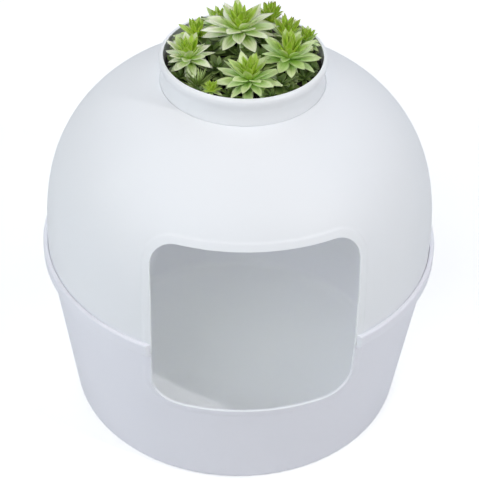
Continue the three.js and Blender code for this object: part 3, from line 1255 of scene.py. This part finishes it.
RING_ROWS = {
    Habit.BROAD: (
        (5, -16, -40, 1.04, 0.19, 0.13),
        (7, 2, -8, 1.0, 0.19, 0.2),
        (7, 14, 8, 1.0, 0.185, 0.3),
        (6, 30, 28, 1.0, 0.175, 0.4),
        (6, 46, 48, 0.98, 0.165, 0.56),
        (6, 58, 62, 0.96, 0.155, 0.72),
        (5, 68, 73, 0.97, 0.145, 0.85),
        (4, 78, 81, 0.98, 0.125, 0.95),
        (2, 85, 87, 0.9, 0.1, 1.0),
    ),
    Habit.YOUNG: (
        (6, 2, 0, 1.0, 0.19, 0.42),
        (6, 24, 30, 1.0, 0.185, 0.62),
        (5, 46, 54, 0.96, 0.175, 0.8),
        (4, 64, 72, 0.96, 0.16, 0.92),
        (3, 80, 84, 0.96, 0.13, 1.0),
    ),
    Habit.SPIKY: (
        (7, -6, 0, 1.0, 0.15, 0.24),
        (7, 24, 34, 1.0, 0.145, 0.5),
        (7, 44, 56, 0.95, 0.135, 0.7),
        (6, 60, 70, 0.95, 0.125, 0.8),
        (5, 74, 80, 0.96, 0.115, 0.9),
        (3, 84, 86, 1.0, 0.1, 1.0),
    ),
    Habit.TUFT: (
        (14, 8, 22, 1.0, 0.055, 0.0),
        (15, 30, 46, 1.0, 0.05, 0.01),
        (14, 50, 62, 1.0, 0.05, 0.03),
        (10, 68, 76, 1.0, 0.045, 0.5),
    ),
    Habit.SHADED: (
        (5, 6, -10, 1.0, 0.23, 0.2),
        (5, 30, 24, 0.98, 0.22, 0.3),
        (4, 52, 48, 0.9, 0.21, 0.5),
        (2, 74, 72, 0.8, 0.19, 0.7),
    ),
}
RINGS = {habit: tuple(LeafRing(*row) for row in rows) for habit, rows in RING_ROWS.items()}


@dataclass(frozen=True)
class Plant:
    """One plant's place in the pot, its size in millimetres and its habit."""

    right: float
    back: float
    base: float
    spread: float
    rise: float
    habit: Habit = Habit.BROAD


PLANTS = {
    1: (Plant(-2, 22, 12, 45, 32.5),),
    2: (Plant(-57, -12, 2, 33, 28),),
    3: (Plant(-45, 32, 1, 26, 24, Habit.YOUNG),),
    4: (Plant(44, -19, 3, 37, 32),),
    5: (Plant(1.5, -51, 0, 36, 29),),
    6: (Plant(-37, -58, -6, 14, 14, Habit.YOUNG), Plant(-49, -43, -9, 22, 20, Habit.TUFT)),
    7: (Plant(46, 20, 4, 23, 30, Habit.SPIKY),),
    8: (Plant(32, 51, 5, 19, 28, Habit.SPIKY),),
    9: (Plant(66, 16, 1, 21, 18),),
    10: (Plant(-20, 55, 1, 24, 22),),
}
GREENER = (3, 4, 5, 6, 9, 10)
FILLER_ROWS = (
    (-27, -20, -7, 28, 17),
    (18, -14, -5, 30, 23),
    (22, 14, -4, 29, 24),
    (-34, 9, -5, 27, 18),
    (62, -4, -7, 22, 15),
    (31, -50, -7, 28, 15),
    (10, 47, -4, 26, 22),
    (-61, 20, -7, 22, 15),
    (57, -38, -8, 22, 13),
    (-18, -63, -9, 18, 12),
    (-66, -28, -9, 18, 11),
    (-32, 60, -6, 20, 16),
    (58, 42, -6, 22, 16),
    (-20, -38, -8, 24, 13),
    (-50, -55, -10, 16, 10),
    (68, -24, -8, 16, 13),
    (-70, -6, -8, 15, 13),
    (22, -68, -9, 15, 11),
    (42, -58, -9, 15, 11),
    (0, 0, -5, 26, 19),
)
FILLERS = tuple(Plant(*row, Habit.SHADED) for row in FILLER_ROWS)


@dataclass
class Grower:
    """Grows rosettes of leaves. Its own sizes are in metres, and shares have no unit."""

    rim: float
    wall: float
    foot: float = 0.37825
    filler_foot: float = 0.404
    stem_radius: float = 0.003
    stem_taper: float = 0.8
    stem_sides: int = 10
    stem_rise: float = 0.1
    stem_marks: Colour = (0.2, 0.5, 0.0, 0.5)
    stations: tuple[float, ...] = (0.0, 0.14, 0.3, 0.46, 0.6, 0.72, 0.83, 0.92, 1.0)
    sides: int = 8
    widest: float = 0.58
    foot_share: float = 0.4
    taper: float = 1.7
    thin: float = 0.1
    plump: float = 0.3
    plump_thin: float = 0.6
    thinning: float = 0.94
    width_range: Pair = (0.9, 1.1)
    length_range: Pair = (0.82, 1.0)
    channel_range: Pair = (0.18, 0.42)
    sway: float = 0.1
    tip_stray: float = 9.0
    stray: float = 0.16
    roll: float = 0.25
    climb: float = 0.16
    push: float = 0.04
    least_reach: float = 0.3

    def swell(self, along: float) -> float:
        """Gives a leaf's width at a share of its length.

        Args:
            along: The share, from 0 at the foot to 1 at the tip.

        Returns:
            The width as a share of the greatest width.
        """
        if along < self.widest:
            rise = math.sin(math.pi / 2 * along / self.widest)
            return self.foot_share + (1 - self.foot_share) * rise
        return 1 - ((along - self.widest) / (1 - self.widest)) ** self.taper

    def leaf(
        self, bm: BMesh, ring: LeafRing, length: float, place: Matrix, draw: random.Random
    ) -> None:
        """Adds one fleshy, pointed leaf with a shallow channel.

        Args:
            bm: The plant's mesh.
            ring: The ring that it grows in.
            length: From foot to tip, in metres.
            place: Where its foot is and which way it grows.
            draw: The plant's own random numbers.
        """
        marks = bm.verts.layers.float_color["leaf"]
        half_width = ring.width * length * draw.uniform(*self.width_range)
        thickness = half_width * (self.plump if ring.width > self.thin else self.plump_thin)
        channel = draw.uniform(*self.channel_range) / math.sqrt(half_width)
        own = draw.random()
        foot = math.radians(ring.foot_tilt)
        tip = math.radians(ring.tip_tilt + draw.uniform(-self.tip_stray, self.tip_stray))
        sway = draw.uniform(-self.sway, self.sway) * length
        point = Vector((0.0, 0.0, 0.0))
        line: list[BMVert] = []
        before = 0.0
        for along in self.stations:
            tilt = foot + (tip - foot) * along
            point += Vector((math.cos(tilt), 0.0, math.sin(tilt))) * (length * (along - before))
            before = along
            width = half_width * self.swell(along)
            fade = 0.5 + 0.5 * math.cos(math.pi * along * self.thinning)
            depth = thickness * fade if along < 1 else 0.0
            up = Vector((-math.sin(tilt), 0.0, math.cos(tilt)))
            places, across = [], []
            for side in range(self.sides):
                angle = math.tau * side / self.sides
                sideways = width * math.sin(angle)
                lift = depth * math.cos(angle) + channel * abs(sideways) ** 1.5
                out = Vector((0, sideways + sway * along * along, 0))
                places.append(place @ (point + out + up * lift))
                across.append(0.5 + 0.5 * math.sin(angle))
            if line:
                line = extrude_line(bm, line, places, closed=True)
            else:
                disc = {"cap_ends": True, "radius": 1, "segments": self.sides}
                line = bmesh.ops.create_circle(bm, **disc)["verts"]
                for vertex, spot in zip(line, places):
                    vertex.co = spot
            for vertex, share in zip(line, across):
                vertex[marks] = (along, share, ring.age, own)

    def stem(self, bm: BMesh, foot: float, crown: Vector) -> None:
        """Adds a short stem.

        Args:
            bm: The plant's mesh.
            foot: The height of the stem's foot.
            crown: The place of its upper end.
        """
        made = bmesh.ops.create_cone(
            bm,
            cap_ends=True,
            segments=self.stem_sides,
            radius1=self.stem_radius,
            radius2=self.stem_radius * self.stem_taper,
            depth=crown.z - foot,
            matrix=Matrix.Translation((crown.x, crown.y, (foot + crown.z) / 2)),
        )["verts"]
        marks = bm.verts.layers.float_color["leaf"]
        for vertex in made:
            vertex[marks] = self.stem_marks

    def room(self, centre: Vector, heading: float) -> float:
        """How far a leaf may reach from its plant before it meets the pot's wall.

        Args:
            centre: The plant's place.
            heading: Which way the leaf grows, seen from above.

        Returns:
            The reach in metres.
        """
        along = centre.x * math.cos(heading) + centre.y * math.sin(heading)
        return math.sqrt(along**2 + self.wall**2 - centre.xy.length_squared) - along

    def rosette(self, bm: BMesh, plant: Plant, draw: random.Random) -> None:
        """Adds one rosette's rings of leaves.

        Args:
            bm: The piece's mesh.
            plant: The rosette's place, size and habit.
            draw: The piece's own random numbers.
        """
        centre = Vector((plant.right * MM, plant.back * MM, self.rim + plant.base * MM))
        rings = RINGS[plant.habit]
        root = self.filler_foot if plant.habit is Habit.SHADED else self.foot
        self.stem(bm, root, centre + Vector((0, 0, self.stem_rise * plant.rise * MM)))
        start = draw.uniform(0, math.tau)
        for index, ring in enumerate(rings):
            tilt = math.radians(ring.foot_tilt + ring.tip_tilt) / 2
            height = self.climb * plant.rise * index / len(rings)
            upwards = math.sin(tilt) / (plant.rise - height)
            full = ring.length * MM / math.hypot(math.cos(tilt) / plant.spread, upwards)
            foot = Matrix.Translation(centre + Vector((0, 0, height * MM)))
            push = Matrix.Translation((self.push * plant.spread * MM * math.cos(tilt), 0, 0))
            for number in range(ring.count):
                stray = draw.uniform(-self.stray, self.stray)
                heading = start + math.tau * ((number + index * 0.5 + stray) / ring.count)
                turn = Matrix.Rotation(heading, 4, "Z")
                roll = Matrix.Rotation(draw.uniform(-self.roll, self.roll), 4, "X")
                room = self.room(centre, heading) / max(math.cos(tilt), self.least_reach)
                length = min(full * draw.uniform(*self.length_range), room)
                self.leaf(bm, ring, length, foot @ turn @ push @ roll, draw)


@dataclass
class Arrangement:
    """The foam, the soil and the succulents, in millimetres, which lift out together."""

    pot_rim: float = 430.85
    foam_steps: int = 96
    foam_profile: tuple[Triple, ...] = (
        (0, 360.55, 0),
        (72.6, 360.55, 5.6),
        (72.6, 402.25, 1),
        (0, 402.25, 0),
    )
    soil_bottom: float = 402.55
    soil_radius: float = 79.8
    soil_edge: float = 418.85
    soil_crown: float = 5.0
    soil_sink: float = 1.0
    soil_rings: int = 26
    soil_steps: int = 110
    lump_depth: float = 2.0
    lumps: tuple[Pair, ...] = ((90, 1.1), (320, 0.6))
    lump_sink: float = 0.4
    chips: int = 420
    chip_seed: int = 11
    chip_reach: float = 0.97
    chip_sink: float = 1.4
    chip_size: Pair = (0.9, 2.2)
    chip_sides: tuple[Pair, ...] = ((0.7, 1.7), (0.6, 1), (0.35, 0.7))
    chip_lean: float = 0.5
    leaf_gap: float = 2.0
    first_seed: int = 100
    filler_seed: int = 90

    def foam(self) -> None:
        """Builds the foam block."""
        bm = spun(rounded(self.foam_profile), self.foam_steps)
        finish_piece("foam_plug", bm, FLORAL_FOAM, Body.ARRANGEMENT, Slot.FOAM, ["foam_block"])

    def crown(self, radius: float) -> float:
        """How far the soil rises over its edge at a radius, both in millimetres."""
        return self.soil_crown * math.sqrt(max(1 - (radius / self.soil_radius) ** 2, 0))

    def soil(self) -> None:
        """Builds the soil, with an uneven crown."""
        profile = [(0.0, self.soil_bottom * MM), (self.soil_radius * MM, self.soil_bottom * MM)]
        for i in range(self.soil_rings + 1):
            radius = self.soil_radius * (1 - i / self.soil_rings)
            height = self.soil_edge + self.crown(radius) - self.soil_sink
            profile.append((radius * MM, height * MM))
        bm = spun(profile, self.soil_steps)
        for vertex in bm.verts:
            if vertex.co.z > (self.soil_edge - self.lump_depth) * MM:
                lift = sum(noise.noise(vertex.co * scale) * height for scale, height in self.lumps)
                vertex.co.z += (lift - self.lump_sink) * MM
        finish_piece("soil_bed", bm, DARK_SOIL, Body.ARRANGEMENT, Slot.SOIL, ["soil_layer"])

    def scatter(self) -> None:
        """Scatters small chips over the soil."""
        draw = random.Random(self.chip_seed)
        bm = bmesh.new()
        for _ in range(self.chips):
            radius = self.soil_radius * math.sqrt(draw.random()) * self.chip_reach
            turn = draw.uniform(0, math.tau)
            height = (self.soil_edge + self.crown(radius) - self.chip_sink) * MM
            right, back = radius * math.cos(turn) * MM, radius * math.sin(turn) * MM
            size = draw.uniform(*self.chip_size) * MM
            sides = [draw.uniform(*limits) for limits in self.chip_sides]
            spin = Matrix.Rotation(draw.uniform(0, math.tau), 4, "Z")
            spin @= Matrix.Rotation(draw.uniform(-self.chip_lean, self.chip_lean), 4, "X")
            place = Matrix.Translation((right, back, height)) @ spin @ Matrix.Diagonal((*sides, 1))
            bmesh.ops.create_icosphere(bm, subdivisions=1, radius=size, matrix=place)
        finish_piece("soil_chips", bm, BARK, Body.ARRANGEMENT, Slot.SOIL)

    def planting(
        self, name: str, plants: Sequence[Plant], seed: int, finish: Finish, nodes: Sequence[str]
    ) -> None:
        """Builds one piece of the planting.

        Args:
            name: The piece's name.
            plants: Its rosettes.
            seed: Starts its own random numbers.
            finish: What its leaves are made of.
            nodes: The CAD nodes that it stands for.
        """
        draw = random.Random(seed)
        grower = Grower(self.pot_rim * MM, (self.soil_radius - self.leaf_gap) * MM)
        bm = bmesh.new()
        bm.verts.layers.float_color.new("leaf")
        for plant in plants:
            grower.rosette(bm, plant, draw)
        face_outwards(bm)
        finish_piece(name, bm, finish, Body.ARRANGEMENT, Slot.LEAF, nodes)

    def build(self) -> None:
        """Builds and dresses the whole arrangement."""
        self.foam()
        self.soil()
        self.scatter()
        for number, plants in PLANTS.items():
            finish = GREEN_LEAF if number in GREENER else BROAD_LEAF
            if plants[0].habit is Habit.SPIKY:
                finish = SPIKY_LEAF
            name, nodes = f"succulent_plant_{number}", [f"succulent_{number}"]
            self.planting(name, plants, self.first_seed + number, finish, nodes)
        # The filler leaves' dark finish is partly painted shade.
        self.planting("filler_leaves", FILLERS, self.filler_seed, SHADED_LEAF, ())


# ---------------------------------------------------------------- the studio


@dataclass(frozen=True)
class Lamp:
    """A soft square lamp, turned in degrees to the right of the door and up from level."""

    name: str
    turn: float
    rise: float
    size: float
    watts: float
    colour: Triple = (1.0, 1.0, 1.0)
    distance: float = 3.0
    target: Triple = (0.0, 0.0, 0.25)

    def hang(self, light: Light) -> None:
        """Hangs a light in the lamp's place, facing its target.

        Args:
            light: The light, whose shape and size are set.
        """
        light.energy = self.watts
        light.color = self.colour
        turn, rise = math.radians(self.turn), math.radians(self.rise)
        level = math.cos(rise)
        away = Vector((math.sin(turn) * level, -math.cos(turn) * level, math.sin(rise)))
        lamp = bpy.data.objects.new(self.name, light)
        lamp.location = Vector(self.target) + away * self.distance
        lamp.rotation_euler = (-away).to_track_quat("-Z", "Y").to_euler()
        lamp.visible_camera = False
        bpy.context.scene.collection.objects.link(lamp)

    def build(self) -> None:
        """Makes the lamp."""
        light = bpy.data.lights.new(self.name, "AREA")
        light.shape = "SQUARE"
        light.size = self.size
        self.hang(light)


@dataclass(frozen=True)
class Beam(Lamp):
    """A narrow soft-edged beam up through the doorway, which fills the cabin from its ceiling."""

    angle: float = 15.0

    def build(self) -> None:
        """Makes the beam's lamp."""
        light = bpy.data.lights.new(self.name, "SPOT")
        light.shadow_soft_size = self.size
        light.spot_size = math.radians(self.angle)
        light.spot_blend = 1.0
        self.hang(light)


@dataclass
class Studio:
    """The camera, the pale floor and the soft light."""

    camera_place: Triple = (-0.13604, -1.36299, 1.29315)
    camera_aim: Triple = (0.00001, -0.00745, 0.19474)
    camera_roll: float = 1.482
    lens: float = 119.156
    sensor: float = 36.0
    farthest: float = 50.0
    ambient: Colour = shade(0.86, 0.93, 1.0)
    ambient_strength: float = 0.05
    floor_size: float = 8.0
    bounces: int = 14
    door_middle: Triple = (0.0, -0.185, 0.2224)

    def lamps(self) -> tuple[Lamp, ...]:
        """Lists the lamps.

        Returns:
            The soft lamps round the box and the beams into its cabin.
        """
        warm, cool, even = (0.905, 1.0, 0.715), (0.79, 0.885, 1.0), (0.905, 0.96, 1.0)
        beams = tuple(
            Beam(f"cabin_lamp_{number}", turn, -18, 0.02, 16.9, warm, 0.6, self.door_middle)
            for number, turn in enumerate((-30, 0, 30), 1)
        )
        return (
            Lamp("key_lamp", 48.3, 36.6, 0.07, 20.0, (1.0, 0.99, 0.98)),
            Lamp("front_left_lamp", -25, 40, 1.0, 16.3, even),
            Lamp("window_lamp", -50, 30, 0.8, 10.2, cool),
            Lamp("top_lamp", 0, 85, 2.6, 10.6, (1.0, 0.74, 0.62)),
            Lamp("left_lamp", -80, 35, 2.2, 30.2, even),
            Lamp("right_lamp", 80, 41, 2.2, 25.0, cool),
            Lamp("back_lamp", 174, 45, 2.2, 28.5, cool),
            *beams,
        )

    def camera(self) -> None:
        """Sets the camera."""
        view = bpy.data.cameras.new("camera")
        view.lens = self.lens
        view.sensor_width = self.sensor
        view.clip_end = self.farthest
        eye = bpy.data.objects.new("camera", view)
        facing = Vector(self.camera_aim) - Vector(self.camera_place)
        turn = facing.to_track_quat("-Z", "Y").to_matrix().to_4x4()
        roll = Matrix.Rotation(math.radians(self.camera_roll), 4, "Z")
        eye.matrix_world = Matrix.Translation(self.camera_place) @ turn @ roll
        bpy.context.scene.collection.objects.link(eye)
        bpy.context.scene.camera = eye

    def world(self) -> None:
        """Lights the room evenly and shows it white."""
        world = bpy.data.worlds.new("room")
        world.use_nodes = True
        sheet = Sheet(world.node_tree)
        path = sheet.add("ShaderNodeLightPath").outputs
        seen = sheet.math("MAXIMUM", path["Is Glossy Ray"], path["Is Transmission Ray"])
        seen = sheet.math("MAXIMUM", path["Is Camera Ray"], seen)
        dim = {"Color": self.ambient, "Strength": self.ambient_strength}
        soft = sheet.add("ShaderNodeBackground", dim)
        white = sheet.add("ShaderNodeBackground", {"Color": shade(1, 1, 1), "Strength": 1.0})
        both = sheet.add("ShaderNodeMixShader", {0: seen, 1: soft.outputs[0], 2: white.outputs[0]})
        sheet.add("ShaderNodeOutputWorld", {"Surface": both.outputs[0]})
        bpy.context.scene.world = world

    def floor(self) -> None:
        """Lays the pale floor, which shows white and keeps the box's shadow."""
        bm = bmesh.new()
        bmesh.ops.create_grid(bm, x_segments=1, y_segments=1, size=self.floor_size)
        mesh = bpy.data.meshes.new("floor")
        bm.to_mesh(mesh)
        bm.free()
        mesh.materials.append(PALE_FLOOR.material())
        floor = bpy.data.objects.new("floor", mesh)
        bpy.context.scene.collection.objects.link(floor)

    def build(self) -> None:
        """Sets up the whole studio."""
        self.camera()
        self.world()
        self.floor()
        for lamp in self.lamps():
            lamp.build()
        scene = bpy.context.scene
        scene.cycles.diffuse_bounces = self.bounces
        scene.cycles.max_bounces = self.bounces
        scene.view_settings.view_transform = "Standard"


def main() -> None:
    """Builds the studio and every sub-assembly in order."""
    logging.basicConfig(level=logging.INFO, format="%(message)s")
    doorway = Doorway()
    Studio().build()
    for part in (Tub(doorway), Hood(doorway), PlanterPot(), Filter(), Arrangement()):
        LOG.info("building %s", type(part).__name__)
        part.build()


if __name__ == "__main__":
    main()
